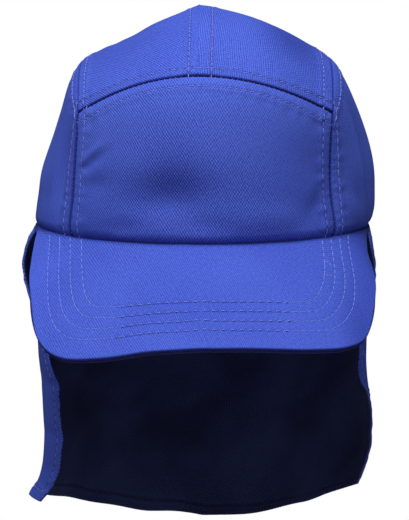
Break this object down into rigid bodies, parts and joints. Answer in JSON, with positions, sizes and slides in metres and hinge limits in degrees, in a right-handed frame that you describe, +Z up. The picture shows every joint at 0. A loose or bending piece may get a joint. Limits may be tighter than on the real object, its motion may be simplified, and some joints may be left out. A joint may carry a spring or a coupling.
{
  "type": "legionnaire cap",
  "caption": "Peaked cotton twill cap with an arched front panel, long seams over the crown and a neck flap that hangs round the sides and back.",
  "frame": {"origin": "middle of the head opening, level with the crown's lower edge at the front", "axes": "+Z up the crown, -Y towards the peak and the front, +X towards the wearer's left"},
  "size_m": [0.1894, 0.2648, 0.3085],
  "materials": {
    "twill": "matt royal blue cotton twill"
  },
  "bodies": {
    "root": {"front_panel": "twill", "top_panel_left": "twill", "top_panel_right": "twill", "side_panel_left": "twill", "side_panel_right": "twill", "peak": "twill", "neck_flap": "twill"}
  },
  "joints": []
}
